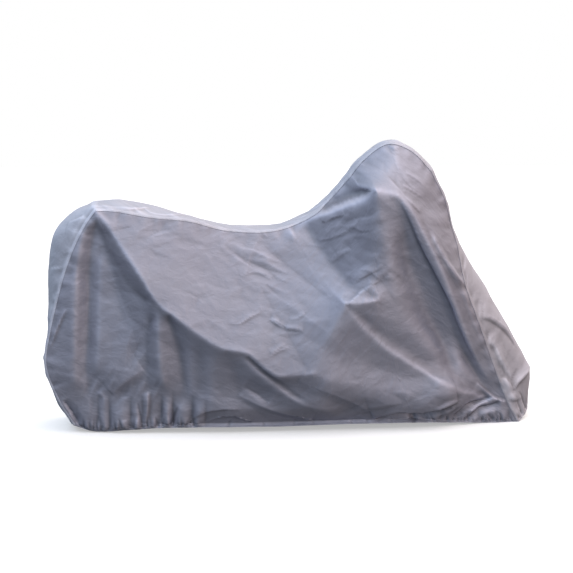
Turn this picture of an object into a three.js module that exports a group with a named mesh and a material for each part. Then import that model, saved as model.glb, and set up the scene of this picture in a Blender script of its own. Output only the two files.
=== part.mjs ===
// A fitted motorcycle cover of coated taffeta, in the shape in which it hangs when it is in use.
// Millimetres. +X points to the front, -Y to the near side, +Z up.
// It has three cut pieces: a side panel on each side, and a narrow strip that runs between them
// from the rear hem over the tail, the seat and the handlebar hood down to the front hem.
// Each side panel is pulled tight over its main folds, which the tables below place.
import * as THREE from "three";

// Driving dimensions.
const clothThickness = 2;
const seamGap = 0.75; // between the outer edges of two pieces at a seam
const panelColumns = 40; // cells along a side panel
const panelRows = 20; // cells from its top seam down to the hem
const stripCells = 6; // cells across the strip
const finePerCell = 4; // steps of the tension grid in each cell
const sweeps = 600; // passes that pull the cloth tight between its folds
const overRelaxation = 1.85;
const holdStrength = 60; // pull of a fold of firmness 1, against 1 for each neighbouring point
const hemBand = 20; // height over which the hem hangs straight
const swellEase = 90; // distance from seams and hem over which the fullness sets in
const sharpFirmness = 0.5; // folds at least this firm run along the edges of the facets
const slideShare = 0.42; // how far a facet's corner may slide to such a fold, in cells
const stripRoundness = 2.2; // exponent of the strip's cross section

// The seam between a side panel and the strip, from the rear hem round to the front hem.
// half: half the width between the two seams; crown: how far the strip's middle stands beyond them.
const seamRows = [
  { place: "rear hem", x: -956, z: 39, half: 160, crown: 25 },
  { place: "above the rear hem", x: -1020, z: 150, half: 165, crown: 15 },
  { place: "rear bulge", x: -1071, z: 300, half: 165, crown: 8 },
  { place: "rear", x: -1050, z: 447, half: 162, crown: 13 },
  { place: "rear upper", x: -1014, z: 594, half: 160, crown: 48 },
  { place: "under the tail", x: -986, z: 690, half: 160, crown: 74 },
  { place: "tail back", x: -943, z: 801, half: 160, crown: 94 },
  { place: "tail shoulder", x: -894, z: 893, half: 155, crown: 64 },
  { place: "tail corner", x: -852, z: 950, half: 148, crown: 24 },
  { place: "tail top", x: -768, z: 945, half: 150, crown: 34 },
  { place: "pillion seat", x: -624, z: 919, half: 150, crown: 37 },
  { place: "seat rear", x: -460, z: 900, half: 138, crown: 6 },
  { place: "seat", x: -309, z: 860, half: 116, crown: 8 },
  { place: "seat low point", x: -116, z: 852, half: 105, crown: 8 },
  { place: "seat front", x: 11, z: 887, half: 72, crown: 6 },
  { place: "foot of the hood", x: 104, z: 944, half: 46, crown: 4 },
  { place: "hood back", x: 208, z: 1051, half: 32, crown: 4 },
  { place: "hood shoulder", x: 288, z: 1148, half: 32, crown: 5 },
  { place: "hood top", x: 401, z: 1222, half: 44, crown: 4 },
  { place: "hood front", x: 501, z: 1193, half: 64, crown: 8 },
  { place: "hood brow", x: 592, z: 1103, half: 82, crown: 8 },
  { place: "under the brow", x: 653, z: 976, half: 92, crown: 8 },
  { place: "under the hood", x: 677, z: 871, half: 106, crown: 10 },
  { place: "end of the hood", x: 698, z: 789, half: 126, crown: 24 },
  { place: "front", x: 721, z: 618, half: 190, crown: 100 },
  { place: "front wheel", x: 768, z: 485, half: 212, crown: 125 },
  { place: "front bulge", x: 828, z: 329, half: 208, crown: 154 },
  { place: "above the front hem", x: 906, z: 133, half: 198, crown: 170 },
  { place: "front hem", x: 970, z: 8, half: 192, crown: 97 },
];
const tailCorner = "tail corner"; // where the seam turns from the rear edge to the top edge
const hoodCorner = "hood brow"; // where it turns from the top edge to the front edge

// The elastic hem of a side panel, from rear to front.
const hemRows = [
  { x: -876, z: 14, half: 168 },
  { x: -700, z: 24, half: 205 },
  { x: -574, z: 32, half: 222 },
  { x: -239, z: 34, half: 254 },
  { x: 172, z: 35, half: 262 },
  { x: 490, z: 33, half: 262 },
  { x: 700, z: 20, half: 228 },
  { x: 823, z: 10, half: 205 },
];

// Folds of the near side. firm: 1 for a crease, less for a fold that gives way; fade: how far the fold
// gives way at its start and its end; each path has points [x, z, distance from the middle plane].
const nearFolds = [
  {
    fold: "tail to footrest ridge", firm: 1, fade: [0, 0],
    path: [
      [-850, 950, 160], [-800, 880, 190], [-745, 795, 220], [-670, 680, 270], [-605, 575, 300],
      [-520, 505, 320], [-430, 440, 330], [-340, 385, 345], [-240, 365, 350], [-180, 310, 355],
      [-115, 265, 360], [-40, 270, 360], [25, 275, 360],
    ],
  },
  {
    fold: "steep hollow under the ridge", firm: 0.9, fade: [20, 60],
    path: [
      [-850, 890, 155], [-810, 805, 165], [-765, 720, 185], [-710, 630, 220], [-640, 570, 260],
    ],
  },
  {
    fold: "foot of that hollow", firm: 0.25, fade: [60, 80],
    path: [
      [-820, 810, 160], [-790, 720, 170], [-760, 620, 185], [-735, 530, 205], [-680, 475, 230],
    ],
  },
  {
    fold: "rear crest", firm: 0.3, fade: [160, 120],
    path: [
      [-880, 905, 165], [-910, 825, 172], [-930, 700, 186], [-938, 575, 194], [-944, 410, 205],
      [-948, 220, 203],
    ],
  },
  {
    fold: "rear trough", firm: 0.45, fade: [160, 80],
    path: [
      [-850, 890, 153], [-872, 780, 152], [-882, 570, 162], [-888, 405, 177], [-895, 270, 186],
      [-880, 120, 182],
    ],
  },
  {
    fold: "crest right of it", firm: 0.35, fade: [60, 60],
    path: [
      [-830, 740, 170], [-838, 570, 187], [-846, 410, 208], [-852, 290, 212],
    ],
  },
  {
    fold: "trough behind the pipe", firm: 0.35, fade: [40, 80],
    path: [
      [-630, 510, 255], [-645, 410, 245], [-650, 260, 240], [-655, 140, 230],
    ],
  },
  {
    fold: "pipe fold", firm: 0.5, fade: [30, 80],
    path: [
      [-600, 560, 295], [-600, 460, 290], [-595, 330, 285], [-580, 220, 275],
    ],
  },
  {
    fold: "trough before the pipe", firm: 0.4, fade: [40, 80],
    path: [
      [-560, 520, 290], [-530, 435, 275], [-510, 345, 265], [-495, 230, 255], [-510, 135, 240],
    ],
  },
  {
    fold: "low crest before the pipe", firm: 0.25, fade: [60, 80],
    path: [
      [-480, 415, 300], [-470, 320, 285], [-465, 175, 265],
    ],
  },
  {
    fold: "navy trough", firm: 0.3, fade: [60, 80],
    path: [
      [-440, 390, 300], [-430, 280, 280], [-440, 140, 255],
    ],
  },
  {
    fold: "brown crest", firm: 0.3, fade: [60, 90],
    path: [
      [-390, 370, 320], [-385, 265, 300], [-385, 140, 270],
    ],
  },
  {
    fold: "trough under the seat", firm: 0.3, fade: [40, 90],
    path: [
      [-325, 370, 335], [-290, 280, 305], [-260, 180, 275],
    ],
  },
  {
    fold: "dark crease", firm: 0.7, fade: [30, 60],
    path: [
      [-240, 355, 340], [-175, 290, 335], [-80, 215, 325], [-10, 160, 310],
    ],
  },
  {
    fold: "ridge below that crease", firm: 0.5, fade: [40, 90],
    path: [
      [-265, 350, 340], [-200, 285, 340], [-110, 210, 330], [-25, 150, 315], [115, 110, 290],
    ],
  },
  {
    fold: "belly below it", firm: 0.15, fade: [60, 90],
    path: [
      [-240, 245, 305], [-170, 175, 290], [-85, 115, 270],
    ],
  },
  {
    fold: "knee to footrest ridge", firm: 0.2, fade: [0, 0],
    path: [
      [170, 565, 350], [130, 475, 350], [90, 370, 350], [30, 275, 360],
    ],
  },
  {
    fold: "saddle edge", firm: 0.8, fade: [40, 0],
    path: [
      [-30, 845, 120], [25, 760, 165], [80, 670, 225], [125, 610, 285], [165, 565, 350],
    ],
  },
  {
    fold: "back of the saddle fold", firm: 0.35, fade: [40, 0],
    path: [
      [30, 868, 98], [90, 785, 158], [145, 710, 214], [190, 645, 270], [235, 615, 308],
      [310, 580, 340],
    ],
  },
  { fold: "knee edge", firm: 1, fade: [0, 40], path: [[170, 565, 350], [230, 565, 350], [305, 575, 350]] },
  {
    fold: "hood's lower edge", firm: 0.7, fade: [30, 0],
    path: [
      [220, 1070, 40], [245, 1070, 85], [255, 1045, 150], [270, 1035, 205], [285, 1030, 255],
      [305, 1025, 300],
    ],
  },
  {
    fold: "hollow under the hood", firm: 0.7, fade: [20, 0],
    path: [
      [115, 940, 52], [165, 960, 60], [215, 985, 80], [255, 1005, 125], [285, 1020, 205],
      [300, 1025, 285],
    ],
  },
  {
    fold: "seat to bar end roll", firm: 0.8, fade: [20, 0],
    path: [
      [25, 885, 80], [85, 905, 128], [130, 930, 164], [170, 948, 188], [215, 970, 218],
      [260, 990, 250], [290, 1010, 285], [305, 1025, 300],
    ],
  },
  {
    fold: "front ridge", firm: 0.7, fade: [0, 60],
    path: [
      [305, 1025, 300], [355, 1015, 300], [405, 1000, 300], [445, 955, 300], [485, 885, 298],
      [520, 815, 297], [560, 735, 292], [605, 645, 284], [640, 560, 272], [680, 470, 256],
      [720, 380, 240], [770, 285, 222], [825, 200, 206],
    ],
  },
  {
    fold: "trough behind the front ridge", firm: 0.6, fade: [20, 60],
    path: [
      [355, 980, 300], [400, 930, 292], [435, 860, 283], [490, 785, 275], [530, 720, 269],
      [570, 635, 261], [605, 555, 250], [645, 465, 235], [680, 380, 221], [730, 285, 204],
      [785, 195, 192],
    ],
  },
  {
    fold: "soft ridge from the bar end", firm: 0.3, fade: [0, 120],
    path: [
      [300, 995, 305], [320, 895, 310], [350, 780, 315], [380, 670, 315], [410, 550, 310],
      [450, 440, 305],
    ],
  },
  {
    fold: "bulge above the long trough", firm: 0.25, fade: [0, 80],
    path: [
      [200, 560, 350], [340, 500, 331], [495, 415, 299], [660, 290, 256], [790, 175, 200],
    ],
  },
  {
    fold: "long trough from the knee", firm: 0.7, fade: [0, 80],
    path: [
      [190, 550, 345], [280, 470, 326], [370, 390, 309], [480, 315, 289], [625, 230, 251],
      [825, 125, 182],
    ],
  },
  {
    fold: "ridge below that trough", firm: 0.6, fade: [0, 80],
    path: [
      [180, 540, 350], [245, 460, 345], [350, 365, 330], [465, 295, 312], [610, 205, 278],
      [825, 110, 194],
    ],
  },
  {
    fold: "border of the wedge", firm: 0.6, fade: [10, 0],
    path: [
      [555, 825, 290], [580, 770, 286], [620, 705, 277], [670, 650, 258], [715, 610, 205],
    ],
  },
  {
    fold: "foot of that trough", firm: 0.45, fade: [60, 60],
    path: [
      [425, 850, 262], [450, 730, 254], [480, 645, 246], [520, 535, 236], [555, 450, 224],
      [600, 360, 210], [670, 260, 192],
    ],
  },
  {
    fold: "right edge of the front ridge", firm: 0.5, fade: [20, 60],
    path: [
      [695, 595, 254], [715, 540, 248], [745, 455, 236], [790, 360, 222], [835, 275, 208],
    ],
  },
];

// Folds of the far side, which falls a little differently.
const farFolds = [
  {
    fold: "tail to footrest ridge", firm: 1, fade: [0, 40],
    path: [
      [-850, 950, 160], [-760, 800, 220], [-680, 640, 270], [-560, 520, 310], [-420, 440, 330],
      [-300, 360, 345], [-150, 300, 355],
    ],
  },
  { fold: "footrest edge", firm: 1, fade: [0, 40], path: [[-150, 300, 355], [40, 260, 360]] },
  {
    fold: "hollow under that ridge", firm: 0.8, fade: [20, 80],
    path: [
      [-840, 870, 160], [-780, 700, 175], [-700, 560, 225], [-580, 440, 260], [-470, 340, 280],
    ],
  },
  {
    fold: "saddle ridge", firm: 0.6, fade: [40, 0],
    path: [
      [-30, 850, 115], [60, 720, 210], [130, 560, 340],
    ],
  },
  { fold: "knee edge", firm: 1, fade: [0, 60], path: [[130, 560, 340], [290, 600, 350]] },
  {
    fold: "seat to bar end ridge", firm: 0.8, fade: [30, 0],
    path: [
      [60, 890, 115], [150, 935, 200], [285, 1015, 305],
    ],
  },
  {
    fold: "front ridge", firm: 0.8, fade: [0, 100],
    path: [
      [285, 1035, 305], [410, 990, 300], [520, 800, 295], [640, 600, 260], [780, 360, 210],
      [860, 220, 185],
    ],
  },
  {
    fold: "trough behind the front ridge", firm: 0.8, fade: [0, 100],
    path: [
      [285, 1035, 305], [370, 900, 280], [470, 720, 260], [600, 520, 230], [760, 260, 190],
    ],
  },
  {
    fold: "soft ridge behind the trough", firm: 0.3, fade: [0, 120],
    path: [
      [285, 1035, 305], [350, 860, 320], [420, 640, 320], [520, 400, 290], [640, 220, 240],
    ],
  },
  {
    fold: "trough from the knee", firm: 0.6, fade: [0, 100],
    path: [
      [140, 550, 340], [280, 440, 300], [440, 330, 260], [620, 210, 220],
    ],
  },
  {
    fold: "ridge below that trough", firm: 0.6, fade: [0, 100],
    path: [
      [130, 560, 340], [230, 400, 340], [380, 290, 310], [560, 180, 260], [740, 100, 210],
    ],
  },
  {
    fold: "pipe fold under the ridge", firm: 0.5, fade: [40, 80],
    path: [
      [-500, 480, 305], [-480, 330, 285], [-450, 170, 260],
    ],
  },
  {
    fold: "trough behind the tail", firm: 0.5, fade: [30, 60],
    path: [
      [-845, 870, 160], [-850, 560, 160], [-840, 260, 170], [-830, 120, 175],
    ],
  },
  {
    fold: "ridge behind the tail", firm: 0.5, fade: [30, 60],
    path: [
      [-880, 900, 160], [-930, 560, 190], [-935, 280, 195], [-910, 130, 185],
    ],
  },
  {
    fold: "roll above the hem", firm: 0.06, fade: [60, 80],
    path: [
      [-640, 110, 235], [-300, 105, 275], [0, 110, 290], [200, 110, 295], [480, 110, 260],
      [800, 90, 200],
    ],
  },
];

// Broad fullness that the cloth has beyond its tight shape: along a path of points [x, z].
const nearSwells = [
  { swell: "lower side", rise: 36, wide: 90, path: [[120, 230], [300, 175], [450, 145], [600, 125]] },
  { swell: "front of the lower side", rise: 22, wide: 70, path: [[600, 210], [700, 150]] },
  { swell: "middle of the hem", rise: 22, wide: 80, path: [[-380, 110], [-150, 100], [60, 110]] },
  {
    swell: "round of the hood", rise: 10, wide: 60,
    path: [[330, 1110], [400, 1150], [470, 1130], [540, 1060]],
  },
];
const farSwells = [
  { swell: "lower side", rise: 30, wide: 100, path: [[100, 300], [300, 220], [560, 150]] },
  {
    swell: "round of the hood", rise: 26, wide: 60,
    path: [[300, 1150], [390, 1182], [470, 1152], [540, 1072]],
  },
];

// A smooth line through rows, cut into equal steps. Each point holds what the keys name.
function evenSteps(rows, keys, steps) {
  const [a, b, c] = keys;
  const line = new THREE.CatmullRomCurve3(
    rows.map((row) => new THREE.Vector3(row[a], row[b], row[c])),
    false,
    "centripetal",
  );
  return line.getSpacedPoints(steps).map((p) => ({ [a]: p.x, [b]: p.y, [c]: p.z }));
}

const rowAt = (place) => seamRows.findIndex((row) => row.place === place);

// The seam in three edges of a side panel: rear, top and front, each read away from the tail.
function seamEdges() {
  const [tail, hood] = [rowAt(tailCorner), rowAt(hoodCorner)];
  const cut = (first, last, steps) => evenSteps(seamRows.slice(first, last + 1), ["x", "z", "half"], steps);
  return {
    rear: cut(0, tail, panelRows * finePerCell),
    top: cut(tail, hood, panelColumns * finePerCell),
    front: cut(hood, seamRows.length - 1, panelRows * finePerCell),
  };
}

// How far the strip's middle stands beyond the seam, at a point of the seam, by distance along it.
function crownAt(point) {
  let best = { gap: Infinity, crown: 0 };
  for (let i = 0; i + 1 < seamRows.length; i++) {
    const [from, to] = [seamRows[i], seamRows[i + 1]];
    const near = closestOnSegment(point.x, point.z, from.x, from.z, to.x, to.z);
    if (near.gap < best.gap)
      best = { gap: near.gap, crown: THREE.MathUtils.lerp(from.crown, to.crown, near.share) };
  }
  return best.crown;
}

// The share of the way along a segment where it passes closest to a point, and the gap there.
function closestOnSegment(x, z, x0, z0, x1, z1) {
  const [dx, dz] = [x1 - x0, z1 - z0];
  const share = THREE.MathUtils.clamp(((x - x0) * dx + (z - z0) * dz) / (dx * dx + dz * dz), 0, 1);
  return { share, gap: Math.hypot(x - x0 - share * dx, z - z0 - share * dz) };
}

// The grid of a side panel seen from the side: x and z of each point, blended from its four edges.
function panelOutline(edges) {
  const columns = panelColumns * finePerCell;
  const rows = panelRows * finePerCell;
  const first = seamRows[0];
  const last = seamRows[seamRows.length - 1];
  const rear = [...edges.rear].reverse();
  const hem = evenSteps([first, ...hemRows, last], ["x", "z", "half"], columns);
  const grid = [];
  for (let j = 0; j <= rows; j++) {
    const v = j / rows;
    for (let i = 0; i <= columns; i++) {
      const u = i / columns;
      const blend = (key) =>
        (1 - v) * edges.top[i][key] + v * hem[i][key] + (1 - u) * rear[j][key] + u * edges.front[j][key] -
        (1 - u) * (1 - v) * edges.top[0][key] - u * (1 - v) * edges.top[columns][key] -
        (1 - u) * v * hem[0][key] - u * v * hem[columns][key];
      grid.push({ x: blend("x"), z: blend("z"), half: blend("half") });
    }
  }
  return { grid, columns, rows };
}

// The closest point of a fold's path: the gap to it, its x, z and distance from the middle plane, and
// how firmly the fold holds there.
function closestOnFold(point, { path, firm, fade }) {
  let best = { gap: Infinity };
  let before = 0;
  path.slice(1).forEach(([x1, z1, out1], k) => {
    const [x0, z0, out0] = path[k];
    const length = Math.hypot(x1 - x0, z1 - z0);
    const { share, gap } = closestOnSegment(point.x, point.z, x0, z0, x1, z1);
    const mix = (from, to) => THREE.MathUtils.lerp(from, to, share);
    const along = before + share * length;
    if (gap < best.gap) best = { gap, x: mix(x0, x1), z: mix(z0, z1), out: mix(out0, out1), along };
    before += length;
  });
  const ease = (distance, length) => (length ? THREE.MathUtils.smoothstep(distance, 0, length) : 1);
  return { ...best, firm: firm * ease(best.along, fade[0]) * ease(before - best.along, fade[1]) };
}

// Holds the grid at the edges, the hem band and the folds, and pulls it tight between them.
function pullTight({ grid, columns, rows }, folds) {
  const at = (i, j) => j * (columns + 1) + i;
  const reach = 0.6 * (grid[at(1, rows)].x - grid[at(0, rows)].x);
  for (let j = 1; j < rows; j++)
    for (let i = 1; i < columns; i++) {
      const point = grid[at(i, j)];
      const hem = grid[at(i, rows)];
      point.hold = 0;
      for (const fold of folds) {
        const near = closestOnFold(point, fold);
        if (near.gap < reach && near.firm * holdStrength > point.hold)
          Object.assign(point, { hold: near.firm * holdStrength, goal: near.out });
      }
      if (point.z - hem.z < hemBand) Object.assign(point, { hold: holdStrength, goal: hem.half });
    }
  for (let sweep = 0; sweep < sweeps; sweep++)
    for (let j = 1; j < rows; j++)
      for (let i = 1; i < columns; i++) {
        const point = grid[at(i, j)];
        const besides = grid[at(i - 1, j)].half + grid[at(i + 1, j)].half;
        const around = besides + grid[at(i, j - 1)].half + grid[at(i, j + 1)].half;
        const mean = (around + (point.hold && point.hold * point.goal)) / (4 + point.hold);
        point.half += overRelaxation * (mean - point.half);
      }
}

// How far the fullness brings a point of a side panel out.
function swellAt(point, hem, swells) {
  const seamGaps = seamRows.slice(1).map((to, k) =>
    closestOnSegment(point.x, point.z, seamRows[k].x, seamRows[k].z, to.x, to.z).gap,
  );
  const inside =
    THREE.MathUtils.smoothstep(Math.min(...seamGaps), 0, swellEase) *
    THREE.MathUtils.smoothstep(point.z - hem.z, 0, swellEase);
  let out = 0;
  for (const { rise, wide, path } of swells) {
    const gaps = path.slice(1).map(([x, z], k) => closestOnSegment(point.x, point.z, ...path[k], x, z).gap);
    out += rise * inside * Math.exp(-((Math.min(...gaps) / wide) ** 2));
  }
  return out;
}

// The outer face of a side panel as a coarse grid of points. side is -1 on the near side, 1 on the far.
function panelFace(edges, folds, swells, side) {
  const outline = panelOutline(edges);
  pullTight(outline, folds);
  const { grid, columns, rows } = outline;
  const cell = finePerCell * (grid[1].x - grid[0].x);
  const sharp = folds.filter((fold) => fold.firm >= sharpFirmness);
  const points = [];
  for (let j = 0; j <= panelRows; j++)
    for (let i = 0; i <= panelColumns; i++) {
      const point = { ...grid[j * finePerCell * (columns + 1) + i * finePerCell] };
      const onEdge = i === 0 || j === 0 || i === panelColumns || j === panelRows;
      const nearest = sharp.map((fold) => closestOnFold(point, fold)).sort((a, b) => a.gap - b.gap)[0];
      if (!onEdge && nearest.gap < slideShare * cell && nearest.firm >= sharpFirmness / 2) {
        const hold = nearest.firm * holdStrength;
        const half = (4 * point.half + hold * nearest.out) / (4 + hold);
        Object.assign(point, { x: nearest.x, z: nearest.z, half });
      }
      const hem = grid[rows * (columns + 1) + i * finePerCell];
      const out = point.half + (onEdge ? 0 : swellAt(point, hem, swells));
      points.push(new THREE.Vector3(point.x, side * out, point.z));
    }
  return { points, across: panelColumns, down: panelRows };
}

// The outer face of the strip: one row of points across it for each coarse point of the seam.
function stripFace(edges) {
  const coarse = (edge) => edge.filter((_, k) => k % finePerCell === 0);
  const seam = [...coarse(edges.rear), ...coarse(edges.top).slice(1), ...coarse(edges.front).slice(1)];
  const points = [];
  seam.forEach((place, k) => {
    const before = seam[Math.max(k - 1, 0)];
    const after = seam[Math.min(k + 1, seam.length - 1)];
    const along = new THREE.Vector2(after.x - before.x, after.z - before.z).normalize();
    const crown = crownAt(place);
    for (let c = 0; c <= stripCells; c++) {
      const t = (2 * c) / stripCells - 1;
      const rise = crown * (1 - Math.abs(t) ** stripRoundness);
      points.push(new THREE.Vector3(place.x - along.y * rise, t * place.half, place.z + along.x * rise));
    }
  });
  return { points, across: stripCells, down: seam.length - 1 };
}

// The outward direction at each point of a face, from the points around it.
function faceNormals({ points, across, down }, turn) {
  const within = THREE.MathUtils.clamp;
  const at = (i, j) => points[within(j, 0, down) * (across + 1) + within(i, 0, across)];
  return points.map((_, k) => {
    const [i, j] = [k % (across + 1), Math.floor(k / (across + 1))];
    const right = at(i + 1, j).clone().sub(at(i - 1, j));
    const below = at(i, j + 1).clone().sub(at(i, j - 1));
    return right.cross(below).multiplyScalar(turn).normalize();
  });
}

// The seam points of a side panel, in the order in which the strip's rows meet them.
function panelSeam({ across, down }) {
  const rear = Array.from({ length: down }, (_, j) => (down - j) * (across + 1));
  const top = Array.from({ length: across }, (_, i) => i);
  const front = Array.from({ length: down + 1 }, (_, j) => j * (across + 1) + across);
  return [...rear, ...top, ...front];
}

// The way from an edge point into its own piece, square to the seam.
function inwardFrom(points, k, inner, along) {
  const way = points[inner].clone().sub(points[k]);
  return way.addScaledVector(along, -way.dot(along)).normalize();
}

// Joins a side panel to one edge of the strip: their edges are mitred, and kept the seam gap apart.
function joinSeam(panel, strip, stripColumn) {
  const width = panel.across + 1;
  const innerOf = (k) => {
    const [i, j] = [k % width, Math.floor(k / width)];
    const inside = (n, most) => THREE.MathUtils.clamp(n, 1, most - 1);
    return inside(j, panel.down) * width + inside(i, panel.across);
  };
  const stripInner = stripColumn ? -1 : 1;
  const order = panelSeam(panel);
  order.forEach((k, row) => {
    const s = row * (strip.across + 1) + stripColumn;
    const shared = panel.normals[k].clone().add(strip.normals[s]).normalize();
    const after = panel.points[order[Math.min(row + 1, order.length - 1)]];
    const along = after.clone().sub(panel.points[order[Math.max(row - 1, 0)]]).normalize();
    const intoPanel = inwardFrom(panel.points, k, innerOf(k), along);
    const intoStrip = inwardFrom(strip.points, s, s + stripInner, along);
    const apart = intoPanel.clone().sub(intoStrip).normalize();
    panel.normals[k] = shared;
    strip.normals[s] = shared.clone();
    panel.moves.set(k, intoPanel.multiplyScalar(seamGap / 2 / intoPanel.dot(apart)));
    strip.moves.set(s, intoStrip.multiplyScalar(-seamGap / 2 / intoStrip.dot(apart)));
  });
}

// Gives a face its thickness: an outer and an inner layer, and a wall round the edge.
function sheet(face, turn) {
  const { points, normals, moves, across, down } = face;
  const count = points.length;
  const position = new Float32Array(count * 6);
  points.forEach((point, k) => {
    const outer = point.clone().add(moves.get(k) ?? new THREE.Vector3());
    outer.toArray(position, k * 3);
    outer.addScaledVector(normals[k], -clothThickness).toArray(position, (count + k) * 3);
  });
  const index = [];
  const quad = (a, b, c, d) => (turn > 0 ? index.push(a, b, c, a, c, d) : index.push(a, c, b, a, d, c));
  const at = (i, j) => j * (across + 1) + i;
  for (let j = 0; j < down; j++)
    for (let i = 0; i < across; i++) {
      const [a, b, c, d] = [at(i, j), at(i + 1, j), at(i + 1, j + 1), at(i, j + 1)];
      quad(a, b, c, d);
      quad(...[a, d, c, b].map((k) => k + count)); // split along the same diagonal
    }
  const wall = (a, b) => quad(a, a + count, b + count, b);
  for (let i = 0; i < across; i++) {
    wall(at(i, 0), at(i + 1, 0));
    wall(at(i + 1, down), at(i, down));
  }
  for (let j = 0; j < down; j++) {
    wall(at(0, j + 1), at(0, j));
    wall(at(across, j), at(across, j + 1));
  }
  const geometry = new THREE.BufferGeometry();
  geometry.setAttribute("position", new THREE.BufferAttribute(position, 3));
  geometry.setIndex(index);
  geometry.computeVertexNormals();
  return geometry;
}

// The silver taffeta of each piece: the strip lies flat to the sky and has weathered paler.
const panelCloth = new THREE.MeshStandardMaterial({ color: 0x9698a6, roughness: 0.5, metalness: 0.0 });
const stripCloth = new THREE.MeshStandardMaterial({ color: 0xa3a5b2, roughness: 0.5, metalness: 0.0 });

function named(name, geometry, material) {
  const mesh = new THREE.Mesh(geometry, material);
  mesh.name = name;
  return mesh;
}

function buildCover() {
  const edges = seamEdges();
  const near = panelFace(edges, nearFolds, nearSwells, -1);
  const far = panelFace(edges, farFolds, farSwells, 1);
  const strip = stripFace(edges);
  near.normals = faceNormals(near, -1);
  far.normals = faceNormals(far, 1);
  strip.normals = faceNormals(strip, -1);
  for (const face of [near, far, strip]) face.moves = new Map();
  joinSeam(near, strip, 0);
  joinSeam(far, strip, stripCells);

  const cover = new THREE.Group();
  cover.add(
    named("side_panel_right", sheet(near, -1), panelCloth),
    named("side_panel_left", sheet(far, 1), panelCloth),
    named("spine_strip", sheet(strip, -1), stripCloth),
  );
  const box = new THREE.Box3().setFromObject(cover, true);
  cover.position.set(-(box.min.x + box.max.x) / 2, -(box.min.y + box.max.y) / 2, -box.min.z);
  return cover;
}

export default buildCover();
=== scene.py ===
import math

import bpy
import numpy as np
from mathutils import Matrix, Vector
from mathutils.bvhtree import BVHTree
from mathutils.geometry import delaunay_2d_cdt


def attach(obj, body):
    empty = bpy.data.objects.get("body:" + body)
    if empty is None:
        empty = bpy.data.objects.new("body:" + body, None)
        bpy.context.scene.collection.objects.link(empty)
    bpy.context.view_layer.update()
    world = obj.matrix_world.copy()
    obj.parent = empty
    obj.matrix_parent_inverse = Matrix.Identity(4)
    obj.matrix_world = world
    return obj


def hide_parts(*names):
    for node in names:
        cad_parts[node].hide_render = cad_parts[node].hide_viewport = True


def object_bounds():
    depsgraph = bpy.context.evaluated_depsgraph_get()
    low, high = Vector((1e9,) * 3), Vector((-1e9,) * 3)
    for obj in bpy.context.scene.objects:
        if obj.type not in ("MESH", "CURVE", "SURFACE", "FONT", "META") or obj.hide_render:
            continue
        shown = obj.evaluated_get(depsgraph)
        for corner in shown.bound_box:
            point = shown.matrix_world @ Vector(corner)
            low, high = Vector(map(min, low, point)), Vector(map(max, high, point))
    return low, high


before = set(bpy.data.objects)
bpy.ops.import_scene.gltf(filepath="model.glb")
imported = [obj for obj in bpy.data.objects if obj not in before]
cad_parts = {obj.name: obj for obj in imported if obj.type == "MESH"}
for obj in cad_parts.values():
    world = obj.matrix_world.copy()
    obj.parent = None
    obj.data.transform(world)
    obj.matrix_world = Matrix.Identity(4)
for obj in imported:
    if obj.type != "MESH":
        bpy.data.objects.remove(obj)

cadBox = [list(corner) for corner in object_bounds()]
mm = 0.001

# the camera, set against the photograph
view = {
    "azimuth": -7.0,  # degrees, 0 looks along +Y
    "elevation": 7.0,
    "distance": 5.5,
    "target": (-0.0243, 0.0, 0.587),
    "focalPixels": 1257.0,
    "framePixels": 573,
    "sensor": 36.0,
}


def makeCamera():
    az, el = math.radians(view["azimuth"]), math.radians(view["elevation"])
    back = Vector((math.sin(az) * math.cos(el), -math.cos(az) * math.cos(el), math.sin(el)))
    data = bpy.data.cameras.new("camera")
    data.sensor_width = view["sensor"]
    data.lens = view["focalPixels"] / view["framePixels"] * view["sensor"]
    camera = bpy.data.objects.new("camera", data)
    camera.location = Vector(view["target"]) + back * view["distance"]
    camera.rotation_euler = (-back).to_track_quat("-Z", "Y").to_euler()
    bpy.context.scene.collection.objects.link(camera)
    bpy.context.scene.camera = camera


makeCamera()
print("camera made")


def table(columns, *rows):
    names = columns.split()
    return [dict(zip(names, row)) for row in rows]


# the seam between a side panel and the strip, rear hem to front hem, in millimetres
seamRows = table(
    "place x z half crown",
    ("rear hem", -956, 39, 160, 25),
    ("above the rear hem", -1020, 150, 165, 15),
    ("rear bulge", -1071, 300, 165, 8),
    ("rear", -1050, 447, 162, 13),
    ("rear upper", -1014, 594, 160, 48),
    ("under the tail", -986, 690, 160, 74),
    ("tail back", -943, 801, 160, 94),
    ("tail shoulder", -894, 893, 155, 64),
    ("tail corner", -852, 950, 148, 24),
    ("tail top", -768, 945, 150, 34),
    ("pillion seat", -624, 919, 150, 37),
    ("seat rear", -460, 900, 138, 6),
    ("seat", -309, 860, 116, 8),
    ("seat low point", -116, 852, 105, 8),
    ("seat front", 11, 887, 72, 6),
    ("foot of the hood", 104, 944, 46, 4),
    ("hood back", 208, 1051, 32, 4),
    ("hood shoulder", 288, 1148, 32, 5),
    ("hood top", 401, 1222, 44, 4),
    ("hood front", 501, 1193, 64, 8),
    ("hood brow", 592, 1103, 82, 8),
    ("under the brow", 653, 976, 92, 8),
    ("under the hood", 677, 871, 106, 10),
    ("end of the hood", 698, 789, 126, 24),
    ("front", 721, 618, 190, 100),
    ("front wheel", 768, 485, 212, 125),
    ("front bulge", 828, 329, 208, 154),
    ("above the front hem", 906, 133, 198, 170),
    ("front hem", 970, 8, 192, 97),
)

# the elastic hem of a side panel, rear to front
hemRows = table(
    "x z half",
    (-876, 14, 168),
    (-700, 24, 205),
    (-574, 32, 222),
    (-239, 34, 254),
    (172, 35, 262),
    (490, 33, 262),
    (700, 20, 228),
    (823, 10, 205),
)

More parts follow.
